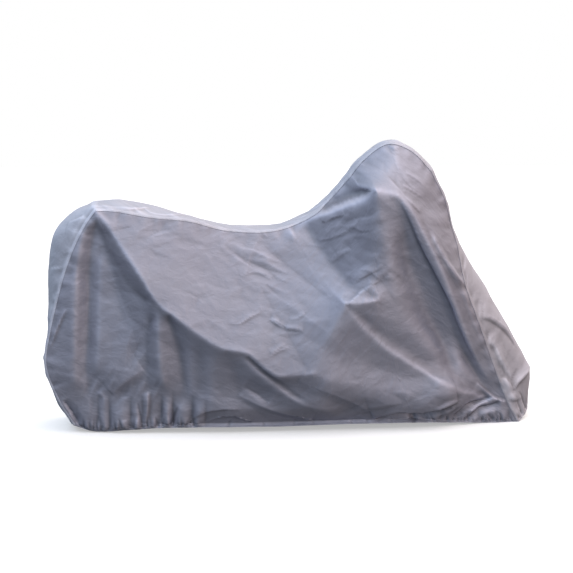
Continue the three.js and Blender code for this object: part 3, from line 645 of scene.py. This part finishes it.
nearCreases = table(
    "crease rise left right power path",
    ("brown fold", 8, 60, 40, 1.6, [(-795, 185), (-725, 245), (-660, 290)]),
    ("rear tuck", -12, 16, 12, 1.6, [(-995, 150), (-965, 100), (-935, 45), (-895, 20)]),
    ("soft line under the tail seam", -1.6, 34, 30, 2, [(-780, 905), (-675, 865), (-560, 865), (-430, 895)]),
    ("roof tuck", 4, 16, 4, 2, [(-135, 495), (-105, 475), (-80, 460)]),
    ("roof tuck, right", 3, 12, 5, 2, [(-80, 460), (-40, 455), (0, 450)]),
    ("roof tick", 2.2, 12, 6, 2, [(-55, 495), (-25, 500), (10, 520)]),
    ("faint roof wrinkle", 2, 14, 7, 2, [(-145, 350), (-105, 370), (-65, 385)]),
    ("lower ripple", 2.5, 16, 10, 2, [(-310, 485), (-270, 480), (-220, 505), (-175, 525)]),
    ("ray from the seam", 1.3, 18, 18, 1.6, [(-260, 850), (-325, 790), (-395, 725)]),
    ("second ray from the seam", 1.2, 16, 16, 1.6, [(-320, 855), (-375, 815), (-435, 770)]),
    ("third ray from the seam", 1.2, 18, 20, 1.6, [(-150, 845), (-200, 765), (-235, 665)]),
    ("seam tick", 2, 8, 5, 2, [(-170, 850), (-150, 845), (-130, 825)]),
    ("roof ray", 1.2, 30, 30, 1.6, [(-625, 840), (-505, 730), (-405, 610), (-335, 505)]),
    ("roof ray, upper", 1.0, 26, 26, 1.6, [(-460, 850), (-370, 725), (-315, 615)]),
    ("saddle ripple", 1.6, 12, 8, 2, [(135, 830), (185, 850), (240, 895)]),
    ("short ridge", 1.6, 9, 9, 2, [(120, 720), (150, 750), (180, 800)]),
    ("side ripple", 1.6, 14, 8, 2, [(235, 700), (275, 695), (310, 670), (340, 650)]),
    ("side ripple, high", 1.6, 16, 10, 2, [(210, 880), (255, 860), (295, 870)]),
    ("hood streak", 2.4, 12, 9, 2, [(450, 1100), (495, 1075), (540, 1040)]),
    ("hood streak, lower", 2.4, 12, 8, 2, [(430, 1050), (475, 1025), (530, 990)]),
    ("front streak", 3.5, 14, 10, 2, [(430, 1000), (460, 970), (500, 935)]),
    ("hood top tick", 4, 8, 6, 2, [(400, 1215), (420, 1195), (450, 1205)]),
    ("hood left tick", 3, 8, 5, 2, [(245, 1130), (270, 1125), (295, 1130)]),
    ("lip by the front seam", 9, 7, 30, 1.6, [(770, 190), (825, 140), (870, 110), (925, 100)]),
    ("line beside the front seam", 5, 10, 12, 2, [(810, 335), (840, 275), (870, 215), (890, 170)]),
    ("swoosh", 4, 18, 8, 1.7, [(-495, 40), (-445, 90), (-400, 110), (-330, 120), (-255, 115)]),
    ("swoosh, lower", 3, 12, 6, 2, [(-410, 55), (-355, 80), (-285, 85), (-215, 55)]),
    ("soft ridge to the hem", 7, 30, 22, 1.6, [(-270, 180), (-185, 135), (-75, 95), (45, 60)]),
    ("soft ridge, right", 6, 44, 34, 1.6, [(-25, 245), (75, 205), (180, 160), (255, 120), (330, 75)]),
    ("dark dent", -5, 26, 20, 1.6, [(-250, 215), (-205, 190), (-145, 145)]),
    ("front hem pleat", -6, 7, 7, 1.6, [(820, 55), (835, 35), (850, 10)]),
    ("saddle facet", 3, 30, 8, 1.6, [(105, 885), (145, 910), (190, 925)]),
    ("second saddle facet", 2.6, 30, 10, 1.6, [(85, 810), (150, 830), (210, 860)]),
    ("third saddle facet", 2.4, 26, 10, 1.6, [(130, 720), (170, 755), (205, 785)]),
    ("tucks above the knee", 2.6, 22, 7, 1.6, [(210, 640), (250, 670), (295, 695), (335, 720)]),
    ("lower of these tucks", 2.4, 18, 7, 1.6, [(260, 615), (295, 645), (335, 660)]),
    ("roof crease, upper", 2.2, 30, 8, 1.6, [(-255, 670), (-185, 685), (-120, 655)]),
    ("pleat top", 3, 10, 10, 1.6, [(-865, 145), (-850, 180), (-830, 170), (-825, 115)]),
    ("second line beside the rear seam", 5, 12, 14, 2, [
        (-975, 540), (-1000, 490), (-1025, 430), (-1045, 380)]),
    ("brown pleat by the pipe", 9, 12, 24, 1.6, [(-645, 190), (-645, 130), (-655, 55)]),
    ("belly above the hem", 20, 60, 10, 1.2, [
        (305, 60), (350, 80), (400, 100), (480, 100), (555, 105), (630, 120), (670, 130)]),
    ("dark line under the belly", -13, 10, 10, 1.4, [
        (320, 55), (385, 80), (485, 75), (570, 85), (645, 100)]),
    ("upright slit", -12, 10, 10, 1.5, [(460, 95), (475, 70), (495, 40)]),
    ("black slit to the front", -17, 10, 14, 1.3, [(665, 50), (715, 95), (775, 110), (830, 120)]),
    ("second black slit", -15, 10, 14, 1.3, [(725, 35), (785, 80), (835, 90), (875, 105)]),
    ("roof crease, long", 2.4, 26, 8, 1.4, [(-135, 500), (-100, 485), (-70, 465), (-30, 460), (-5, 455)]),
    ("roof crease at the edge", 2, 16, 8, 1.6, [(-140, 360), (-115, 375), (-95, 390), (-80, 385)]),
    ("edge of the knee triangle", 5, 12, 26, 1.4, [(175, 560), (215, 585), (255, 615), (300, 635)]),
    ("light pocket below the belly", 5, 16, 20, 1.4, [(525, 55), (570, 85), (625, 90), (660, 100)]),
    ("crease of the front ridge", 10, 20, 10, 1.2, [
        (410, 985), (455, 900), (495, 815), (545, 725), (595, 635), (640, 550), (680, 460), (720, 375),
        (770, 285)]),
    ("border of the wedge", 6, 10, 10, 1.2, [(565, 795), (590, 760), (625, 700), (670, 645), (705, 610)]),
    ("light tongue between the slits", 7, 10, 12, 1.3, [(700, 60), (755, 80), (805, 105), (855, 120)]),
)
farCreases = table(
    "crease rise left right power path",
    ("slit", -8, 12, 10, 1.8, [(-900, 290), (-885, 200), (-860, 100)]),
    ("second slit", -7, 12, 10, 1.8, [(-760, 240), (-750, 160), (-760, 80)]),
    ("rear tuck", -10, 16, 12, 1.6, [(-1000, 160), (-965, 100), (-930, 40)]),
    ("wedge", 7, 40, 12, 1.6, [(-800, 420), (-740, 440), (-680, 430)]),
    ("lower wedge", 6, 36, 12, 1.6, [(-790, 330), (-720, 345), (-650, 325)]),
    ("broad fold", 8, 44, 26, 1.6, [(-780, 170), (-710, 230), (-640, 270)]),
    ("roof ray", 1.4, 30, 30, 1.6, [(-600, 850), (-480, 720), (-380, 590), (-320, 480)]),
    ("second roof ray", 1.2, 24, 26, 1.6, [(-430, 840), (-350, 720), (-290, 600)]),
    ("roof tuck", 3, 20, 8, 1.8, [(-150, 540), (-100, 510), (-40, 500)]),
    ("lower roof tuck", 3, 20, 8, 1.8, [(-250, 470), (-190, 450), (-120, 455)]),
    ("ray from the seam", 1.4, 18, 18, 1.6, [(-240, 840), (-300, 770), (-350, 690)]),
    ("saddle tick", 2.4, 24, 9, 1.6, [(120, 800), (165, 820), (215, 850)]),
    ("lower saddle tick", 2.4, 24, 9, 1.6, [(150, 690), (200, 720), (245, 760)]),
    ("tucks above the knee", 3, 20, 8, 1.6, [(230, 650), (280, 690), (330, 705)]),
    ("hood streak", 2.6, 12, 9, 2, [(440, 1100), (490, 1070), (540, 1030)]),
    ("front streak", 3, 14, 10, 2, [(440, 980), (480, 940), (520, 900)]),
    ("belly above the hem", 14, 50, 9, 1.3, [(250, 80), (360, 105), (480, 100), (590, 120), (670, 145)]),
    ("slit to the front", 16, 14, 7, 1.4, [(660, 65), (715, 95), (790, 115), (850, 120)]),
    ("second slit to the front", 14, 14, 7, 1.4, [(720, 40), (780, 75), (840, 90)]),
    ("swoosh", 5, 18, 8, 1.7, [(-480, 60), (-420, 95), (-340, 115), (-260, 105)]),
    ("crease under the footrest", 7, 10, 30, 1.6, [(-240, 330), (-160, 250), (-60, 180), (20, 130)]),
    ("lip by the front seam", 8, 7, 28, 1.6, [(775, 200), (830, 150), (880, 115), (920, 100)]),
)


def dress(base, creases, seed):
    # a panel with its gathers, facets and creases
    rng = np.random.default_rng(seed)
    x, z = base[..., 0], base[..., 2]
    down = pathLengths(base, 0)
    up = down[-1] - down
    relief = np.zeros(x.shape)
    for row in panelCrumples:
        relief += facets(x, z, row, rng)
    for row in creases:
        relief += crease(x, z, row)
    for row in hemPuffs:
        relief += puffs(x, up, row, rng)
    for row in hemSlits:
        relief += slits(x, up, row, rng)
    gap, along, _, _ = nearestOn(x, z, allSeams)
    relief *= smooth(gap / panel["seamEase"])
    for row in seamPuckers:
        share = gap / row["peak"]
        relief += row["depth"] * ragged(along, row["wave"], rng) * share * np.exp(1 - share)
    return base + relief[..., None] * normalsOf(base)


def slideOn(base, creases):
    # moves the grid's points that are nearest to a crease onto its line, so that its crest is sharp
    x, y, z = (base[..., k] for k in range(3))
    (xu, xv), (yu, yv), (zu, zv) = (np.gradient(c) for c in (x, y, z))
    area = xu * zv - xv * zu
    slopeX, slopeZ = (yu * zv - yv * zu) / area, (xu * yv - xv * yu) / area
    shift = np.zeros((2, *x.shape))
    for row in creases:
        path = curveThrough(row["path"], 5)
        near = aroundPath(x, z, path, crisp["slide"] + 1)
        gap, along, _, _ = nearestOn(x[near], z[near], path)
        marks = lengthsOf(path)
        for part, (k, here) in zip(shift, ((0, x), (1, z))):
            goal = np.interp(along, marks, path[:, k])
            part[near] = np.where(gap < crisp["slide"], goal - here[near], part[near])
    shift[:, [0, -1]] = shift[:, :, [0, -1]] = 0
    return base + np.stack([shift[0], slopeX * shift[0] + slopeZ * shift[1], shift[1]], axis=-1)


nearFace = dress(slideOn(nearBase, nearCreases), nearCreases, 11)
farFace = dress(slideOn(farBase, farCreases), farCreases, 12)
print("panels creased and gathered")


stripCreases = table(
    "crease rise left right power path",
    ("edge of the tail's pocket", 3, 10, 34, 1.4, [(10, 705), (35, 700), (110, 690)]),
    ("bright facet of the tail", 3, 14, 40, 1.3, [(20, 945), (40, 920), (85, 900)]),
    ("rear crinkle", 5, 10, 10, 2, [(0, 390), (0, 375), (0, 345)]),
    ("lower rear crinkle", 4, 10, 10, 2, [(0, 385), (0, 345), (100, 295)]),
    ("tail streak", 4, 10, 14, 2, [(5, 1055), (15, 1140), (75, 1270)]),
    ("long crease on top", 3, 12, 18, 1.8, [(80, 1240), (25, 1235), (25, 1325), (105, 1470), (105, 1555)]),
    ("streak before it", 2.5, 12, 14, 2, [(95, 1325), (95, 1410), (185, 1495)]),
    ("seat streak", 2, 14, 16, 2, [(65, 1600), (60, 1690), (155, 1795)]),
    ("streak up the hood", 3, 12, 14, 2, [(40, 1950), (0, 1975), (0, 2065)]),
    ("hood crinkle", 4, 10, 12, 2, [(5, 2260), (15, 2350), (0, 2345)]),
    ("hood top crinkle", 5, 12, 12, 2, [(30, 2450), (0, 2415), (35, 2520)]),
    ("brow crinkle", 4, 12, 12, 2, [(0, 2500), (0, 2575), (20, 2685)]),
    ("brow crinkle, lower", 4, 12, 12, 2, [(15, 2720), (5, 2785), (10, 2885)]),
    ("ridge along the front", 8, 10, 30, 1.3, [
        (25, 3315), (75, 3360), (115, 3415), (160, 3490), (185, 3570)]),
    ("third ridge along the front", 8, 10, 26, 1.3, [
        (0, 3415), (30, 3460), (30, 3510), (45, 3575), (60, 3635)]),
    ("pocket's lower edge", 5, 12, 10, 1.5, [(0, 3605), (15, 3605), (30, 3640), (45, 3680)]),
    ("crisp line at the front", 12, 20, 10, 1.4, [(245, 3710), (160, 3690), (90, 3675), (45, 3680)]),
    ("lip at the front", 7, 10, 24, 1.3, [(0, 3605), (0, 3640), (0, 3675), (15, 3705), (80, 3745)]),
    ("gather of the front hem", 7, 10, 10, 1.8, [(0, 3735), (0, 3760), (0, 3800)]),
    ("gather beside it", 6, 9, 9, 1.8, [(0, 3740), (0, 3780), (0, 3815)]),
)
stripCrumples = table(
    "x z wide tall lean length width height",
    (0, 0, 1e5, 1e5, 8, 190, 130, 3),
    (0, 0, 1e5, 1e5, 8, 130, 40, 0.8),
    (0, 0, 1e5, 1e5, 8, 40, 26, 0.3),
)
stripSlits = table(
    "start end wave tall rim deep wide lean",
    (0, 700, 58, 110, 20, 14, 16, 0.0),
    (0, 700, 27, 55, 12, 10, 11, 0.0),
)


def dressStrip(base, seed):
    rng = np.random.default_rng(seed)
    along = pathLengths(base, 0)
    across = pathLengths(base, 1)
    ends = np.minimum(along, along[-1] - along)
    edge = np.minimum(across, across[:, -1:] - across)
    relief = np.zeros(along.shape)
    for row in stripCrumples:
        relief += facets(across, along, row, rng)
    for row in stripCreases:
        relief += crease(across, along, row)
    for row in stripSlits:
        relief += slits(across, ends, row, rng)
    relief *= smooth(edge / strip["seamEase"])
    for row in seamPuckers:
        share = edge / row["peak"]
        relief += row["depth"] * ragged(along, row["wave"], rng) * share * np.exp(1 - share)
    return base + relief[..., None] * normalsOf(base)


stripBase = stripGrid()
stripFace = dressStrip(stripBase, 21)


def surfaceOf(face):
    # a searchable surface of a panel's grid
    index = np.arange(face[..., 0].size).reshape(face.shape[:2])
    quads = np.stack([index[:-1, :-1], index[1:, :-1], index[1:, 1:], index[:-1, 1:]], axis=-1)
    return BVHTree.FromPolygons(face.reshape(-1, 3).tolist(), quads.reshape(-1, 4).tolist())


def overPanel(seam, surface, reach, rise):
    # the line that far in from a seam, at that height above the panel
    along = np.gradient(seam[:, [0, 2]], axis=0)
    along /= np.linalg.norm(along, axis=1)[:, None]
    line = []
    for (x, y, z), (dx, dz) in zip(seam, along):
        spot = Vector((x + reach * dz, -900, z - reach * dx))
        hit, normal, *_ = surface.ray_cast(spot, Vector((0, 1, 0)))
        if hit is None:
            hit, normal, *_ = surface.find_nearest(Vector((spot.x, y, spot.z)))
        line.append(hit - normal * rise if normal.y > 0 else hit + normal * rise)
    return np.array([tuple(point) for point in line])


nearSurface, farSurface = surfaceOf(nearFace), surfaceOf(farFace)
turned = (1, -1, 1)  # the far panel is worked out on the near side


def lapped(face):
    # the strip with its edges lapped over the panels, which covers the seams
    near = [overPanel(face[:, 0], nearSurface, *row) for row in strip["lap"]]
    far = [overPanel(face[:, -1] * turned, farSurface, *row) * turned for row in strip["lap"]]
    return np.stack([*near[::-1], *face.transpose(1, 0, 2), *far], axis=1)


stripFace = lapped(stripFace)
print("strip lapped over the panels")

# from the tables' own origin to the frame's
every = np.vstack([g.reshape(-1, 3) for g in (nearBase, farBase * turned, stripBase)])
cadLow, cadHigh = np.array(cadBox) / mm
toFrame = (cadLow + cadHigh - every.min(0) - every.max(0)) / 2
toFrame[2] = cadLow[2] - every[:, 2].min()
print("shift to the frame", toFrame.round(1))


def ridges(points):
    # how far each point stands out from those around it: 1 on a sharp ridge, -1 in a sharp groove
    normal = normalsOf(points)
    standing = np.zeros(points.shape[:2])
    for reach, sharp in ((1, 0.7), (3, 3.0)):
        inner = slice(reach, -reach)
        around = points[: -2 * reach, inner] + points[2 * reach :, inner]
        around = (around + points[inner, : -2 * reach] + points[inner, 2 * reach :]) / 4
        out = ((points[inner, inner] - around) * normal[inner, inner]).sum(-1)
        standing[inner, inner] += 0.5 * np.tanh(out / sharp)
    return standing


def gridMesh(name, points, flip=False, pale=None):
    # a mesh with a cloth map in metres, from a grid of points in millimetres
    # pale gives a painted highlight along its edge columns, set in place of their ridge values
    rows, columns = points.shape[:2]
    index = np.arange(rows * columns).reshape(rows, columns)
    a, b, c, d = index[:-1, :-1], index[:-1, 1:], index[1:, 1:], index[1:, :-1]
    faces = np.stack([a, b, c, d] if flip else [a, d, c, b], axis=-1).reshape(-1, 4)
    mesh = bpy.data.meshes.new(name)
    mesh.from_pydata(((points.reshape(-1, 3) + toFrame) * mm).tolist(), [], faces.tolist())
    mesh.polygons.foreach_set("use_smooth", np.ones(len(faces), bool))
    ends = np.array([edge.vertices[:] for edge in mesh.edges])
    row, column = ends // columns, ends % columns
    limits = ((row, 0), (row, rows - 1), (column, 0), (column, columns - 1))
    rim = [(part == limit).all(1) for part, limit in limits]
    mesh.edges.foreach_set("use_edge_sharp", np.any(rim, axis=0))
    cloth = np.stack([pathLengths(points, 1), pathLengths(points, 0)], axis=-1).reshape(-1, 2) * mm
    mesh.uv_layers.new(name="cloth").data.foreach_set("uv", cloth[faces.ravel()].ravel())
    # standing feeds the base colour: painted shade in the grooves and painted highlight on the crests
    standing = ridges(points)
    # painted highlight: the strip's edge columns get a set paleness, strongest at the rear seams
    if pale:
        painted_light = np.interp(np.linspace(0, 1, rows), pale["along"], pale["painted_light"])[:, None]
        standing[:, : pale["columns"]] = standing[:, -pale["columns"] :] = painted_light
    mesh.attributes.new("ridge", "FLOAT", "POINT").data.foreach_set("value", standing.ravel())
    mesh.update()
    piece = bpy.data.objects.new(name, mesh)
    bpy.context.scene.collection.objects.link(piece)
    return piece


def thicken(piece, thickness):
    wall = piece.modifiers.new("cloth", "SOLIDIFY")
    wall.thickness = thickness * mm
    wall.offset = -1


nearPanel = gridMesh("side_panel_right_cloth", nearFace)
farPanel = gridMesh("side_panel_left_cloth", farFace * turned, flip=True)
spine = gridMesh("spine_strip_cloth", stripFace, flip=True, pale=strip["pale"])
thicken(nearPanel, panel["thickness"])
thicken(farPanel, panel["thickness"])
thicken(spine, strip["thickness"])
print("pieces made")


class Socket:
    # one output of a shader node; sums on it add the nodes that work them out
    def __init__(self, tree, output=None):
        self.tree, self.output = tree, output

    def node(self, kind, settings, sockets, take=0):
        made = self.tree.nodes.new(kind)
        for name, value in settings.items():
            if name == "stops":
                ramp = made.color_ramp
                while len(ramp.elements) < len(value):
                    ramp.elements.new(1)
                for element, (position, colour) in zip(ramp.elements, value):
                    element.position, element.color = position, colour
            else:
                setattr(made, name, value)
        for name, value in sockets.items():
            if isinstance(value, Socket):
                self.tree.links.new(value.output, made.inputs[name])
            else:
                made.inputs[name].default_value = value
        return Socket(self.tree, made.outputs[take])

    def another(self, take):
        return Socket(self.tree, self.output.node.outputs[take])

    def maths(self, operation, *values):
        return self.node("ShaderNodeMath", {"operation": operation}, dict(enumerate(values)))

    def __add__(self, other):
        return self.maths("ADD", self, other)

    def __sub__(self, other):
        return self.maths("SUBTRACT", self, other)

    def __rsub__(self, other):
        return self.maths("SUBTRACT", other, self)

    def __mul__(self, other):
        return self.maths("MULTIPLY", self, other)

    def __pow__(self, other):
        return self.maths("POWER", self, other)

    __radd__ = __add__
    __rmul__ = __mul__


thread = {"colour": (0.42, 0.42, 0.47), "rough": 0.6}
stitch = {"pitch": 4.2, "long": 2.9, "thick": 0.9, "rows": (2.6, 7.2), "above": 0.5, "hemRow": 18}


def hemLineOf(face):
    # the line of the hem's stitches
    down = pathLengths(face, 0)
    up = down[-1] - down
    normal = normalsOf(face)
    line = []
    for column in range(face.shape[1]):
        row = np.argmin(np.abs(up[:, column] - stitch["hemRow"]))
        line.append(face[row, column] + stitch["above"] * normal[row, column])
    return np.array(line)


def lapLine(side, surface, reach):
    # between the lap's own lines
    (near, high), (wide, low) = strip["lap"]
    rise = np.interp(reach, (0, near, wide), (0, high, low)) + stitch["above"]
    return overPanel(side, surface, reach, rise)


def stitchTree(material):
    # a stitch laid along each edge path at an even pitch
    tree = bpy.data.node_groups.new("stitches", "GeometryNodeTree")
    tree.interface.new_socket("Geometry", in_out="OUTPUT", socket_type="NodeSocketGeometry")
    tree.interface.new_socket("Geometry", in_out="INPUT", socket_type="NodeSocketGeometry")
    for name in ("Pitch", "Long", "Thick"):
        tree.interface.new_socket(name, in_out="INPUT", socket_type="NodeSocketFloat")
    net = Socket(tree)
    entry = tree.nodes.new("NodeGroupInput")
    lines, pitch, long, thick = (Socket(tree, entry.outputs[k]) for k in range(4))
    path = net.node("GeometryNodeMeshToCurve", {}, {"Mesh": lines})
    spots = net.node("GeometryNodeResampleCurve", {"mode": "LENGTH"}, {"Curve": path, "Length": pitch})
    ball = net.node("GeometryNodeMeshIcoSphere", {}, {"Radius": 0.5, "Subdivisions": 1})
    shape = net.node("ShaderNodeCombineXYZ", {}, {0: long, 1: thick, 2: thick})
    tangent = net.node("GeometryNodeInputTangent", {}, {})
    turn = net.node("FunctionNodeAlignRotationToVector", {"axis": "X"}, {"Vector": tangent})
    laid = net.node(
        "GeometryNodeInstanceOnPoints", {},
        {"Points": spots, "Instance": ball, "Rotation": turn, "Scale": shape},
    )
    real = net.node("GeometryNodeRealizeInstances", {}, {"Geometry": laid})
    done = net.node("GeometryNodeSetMaterial", {}, {"Geometry": real, "Material": material})
    tree.links.new(done.output, tree.nodes.new("NodeGroupOutput").inputs[0])
    return tree


def makeStitches():
    edge = len(strip["lap"])  # the strip's own edge lies inside the lapped columns
    nearSeam, farSeam = stripFace[:, edge], stripFace[:, -1 - edge] * turned
    lines = [lapLine(nearSeam, nearSurface, reach) for reach in stitch["rows"]]
    lines += [lapLine(farSeam, farSurface, reach) * turned for reach in stitch["rows"]]
    lines += [hemLineOf(nearFace), hemLineOf(farFace) * turned]
    points, edges = [], []
    for line in lines:
        edges += [(k, k + 1) for k in range(len(points), len(points) + len(line) - 1)]
        points += ((line + toFrame) * mm).tolist()
    mesh = bpy.data.meshes.new("stitch_lines")
    mesh.from_pydata(points, edges, [])
    lead = bpy.data.objects.new("stitch_lines", mesh)
    bpy.context.scene.collection.objects.link(lead)
    material = bpy.data.materials.new("thread")
    material.use_nodes = True
    bsdf = material.node_tree.nodes["Principled BSDF"]
    bsdf.inputs["Base Color"].default_value = (*thread["colour"], 1)
    bsdf.inputs["Roughness"].default_value = thread["rough"]
    laying = lead.modifiers.new("stitches", "NODES")
    laying.node_group = stitchTree(material)
    sizes = {"Pitch": stitch["pitch"] * mm, "Long": stitch["long"] * mm, "Thick": stitch["thick"] * mm}
    for item in laying.node_group.interface.items_tree:
        if item.name in sizes:
            laying[item.identifier] = sizes[item.name]
    evaluated = lead.evaluated_get(bpy.context.evaluated_depsgraph_get())
    sewn = bpy.data.objects.new("stitches", bpy.data.meshes.new_from_object(evaluated))
    bpy.context.scene.collection.objects.link(sewn)
    bpy.data.objects.remove(lead)
    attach(sewn, "root")
    print("stitches sewn", len(sewn.data.polygons))
    return sewn


stitches = makeStitches()

taffeta = {
    "colour": (0.385, 0.395, 0.49),
    "dust": (0.41, 0.42, 0.505),
    # painted highlight on crests and painted shade in grooves: the share by which the base colour is raised
    # and lowered
    "painted_light": 0.4,  # how much paler the ridges are, and darker the grooves
    "metal": 0.42,
    "rough": 0.42,
    "grain": 0.00004,  # metres
    "crinkles": ((0.06, 35, 2.0, 0.02), (0.022, -20, 1.6, 0.022), (0.009, 60, 1.4, 0.02)),
}
paler = {**taffeta, "colour": (0.56, 0.575, 0.67), "dust": (0.58, 0.59, 0.68)}


def clothMaterial(name, look):
    material = bpy.data.materials.new(name)
    material.use_nodes = True
    tree = material.node_tree
    bsdf = tree.nodes["Principled BSDF"]
    net = Socket(tree)
    uv = net.node("ShaderNodeUVMap", {"uv_map": "cloth"}, {})

    def noise(scale, detail, take=0):
        sizes = {"Vector": uv, "Scale": scale, "Detail": detail}
        return net.node("ShaderNodeTexNoise", {"noise_dimensions": "2D"}, sizes, take)

    bent = net.node(
        "ShaderNodeVectorMath", {"operation": "MULTIPLY_ADD"},
        {0: noise(14.0, 2.0, 1), 1: (0.05, 0.05, 0), 2: uv},
    )

    def crinkle(size, lean, stretch, steep):
        # creases of that size in metres; steep is the slope of their sides
        turned = net.node(
            "ShaderNodeMapping", {"vector_type": "POINT"},
            {"Vector": bent, "Rotation": (0, 0, math.radians(lean)), "Scale": (1 / stretch, 1, 1)},
        )
        cells = net.node(
            "ShaderNodeTexVoronoi", {"voronoi_dimensions": "2D", "feature": "F1", "distance": "MANHATTAN"},
            {"Vector": turned, "Scale": 1 / size, "Randomness": 1.0},
        )
        return cells * (size * steep)

    height = noise(900.0, 1.0) * look["grain"]
    for row in look["crinkles"]:
        height = height + crinkle(*row)
    bump = net.node("ShaderNodeBump", {}, {"Height": height, "Strength": 1.0, "Distance": 1.0})
    patches = noise(5.0, 4.0)
    tint = net.node(
        "ShaderNodeMix", {"data_type": "RGBA"},
        {0: patches ** 2.0, 6: (*look["colour"], 1), 7: (*look["dust"], 1)}, 2,
    )
    # painted shade and highlight: the base colour is darkened in grooves and lightened on crests by the
    # ridge attribute
    ridge = net.node("ShaderNodeAttribute", {"attribute_name": "ridge"}, {}, 2)
    painted_light = net.node(
        "ShaderNodeVectorMath", {"operation": "SCALE"}, {0: tint, 3: 1.0 + ridge * look["painted_light"]}
    )
    tree.links.new(painted_light.output, bsdf.inputs["Base Color"])
    tree.links.new((look["rough"] + (patches - 0.5) * 0.1).output, bsdf.inputs["Roughness"])
    tree.links.new(bump.output, bsdf.inputs["Normal"])
    bsdf.inputs["Metallic"].default_value = look["metal"]
    return material


panelLook = clothMaterial("silver_taffeta", taffeta)
stripLook = clothMaterial("paler_taffeta", paler)
for piece, node in ((nearPanel, "side_panel_right"), (farPanel, "side_panel_left"), (spine, "spine_strip")):
    piece.data.materials.append(stripLook if piece is spine else panelLook)
    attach(piece, "root")
    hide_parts(node)

studio = {
    "sky": [  # share of the way from straight down to straight up, and brightness
        (0.0, 0.09), (0.35, 0.15), (0.47, 0.27), (0.53, 0.50),
        (0.65, 0.58), (0.8, 0.78), (0.9, 0.95), (1.0, 1.34),
    ],
    "tint": [  # share of the way from the rear to the front, and colour
        (0.0, (0.50, 0.54, 0.62)), (0.08, (0.64, 0.76, 0.92)), (0.2, (1.0, 1.16, 1.36)),
        (0.5, (0.97, 1.0, 1.04)), (0.7, (1.7, 1.52, 1.46)), (0.86, (1.8, 1.56, 1.46)),
        (0.94, (1.2, 0.92, 0.8)), (1.0, (0.4, 0.27, 0.22)),
    ],
    "floorSize": 40,  # metres each way
    "floor": {
        "Base Color": (0.9, 0.9, 0.9, 1), "Roughness": 1.0,
        "Emission Color": (1, 1, 1, 1), "Emission Strength": 0.4,
    },
}


def makeStage():
    size = studio["floorSize"]
    mesh = bpy.data.meshes.new("floor")
    corners = [(-size, -size, 0), (size, -size, 0), (size, size, 0), (-size, size, 0)]
    mesh.from_pydata(corners, [], [(0, 1, 2, 3)])
    floor = bpy.data.objects.new("floor", mesh)
    material = bpy.data.materials.new("floor")
    material.use_nodes = True
    for name, value in studio["floor"].items():
        material.node_tree.nodes["Principled BSDF"].inputs[name].default_value = value
    mesh.materials.append(material)
    bpy.context.scene.collection.objects.link(floor)
    floor.visible_diffuse = False  # the pale floor would light the folds from below
    floor.visible_glossy = False

    world = bpy.data.worlds.new("studio")
    bpy.context.scene.world = world
    world.use_nodes = True
    world.node_tree.nodes.clear()
    net = Socket(world.node_tree)
    parts = net.node("ShaderNodeSeparateXYZ", {}, {0: net.node("ShaderNodeTexCoord", {}, {})})
    x, z = parts.another(0), parts.another(2)
    grey = net.node(
        "ShaderNodeValToRGB", {"stops": [(p, (v, v, v, 1)) for p, v in studio["sky"]]}, {0: z * 0.5 + 0.5}
    )
    side = net.node(
        "ShaderNodeValToRGB", {"stops": [(p, (*c, 1)) for p, c in studio["tint"]]}, {0: x * 0.5 + 0.5}
    )
    product = {"data_type": "RGBA", "blend_type": "MULTIPLY"}
    light = net.node("ShaderNodeMix", product, {0: 1.0, 6: grey, 7: side}, 2)
    lit = net.node("ShaderNodeBackground", {}, {"Color": light})
    plain = net.node("ShaderNodeBackground", {}, {"Color": (1, 1, 1, 1)})
    camera = net.node("ShaderNodeLightPath", {}, {})
    both = net.node("ShaderNodeMixShader", {}, {0: camera, 1: lit, 2: plain})
    out = world.node_tree.nodes.new("ShaderNodeOutputWorld")
    world.node_tree.links.new(both.output, out.inputs[0])
    bpy.context.scene.view_settings.view_transform = "Standard"


makeStage()
print("stage made")
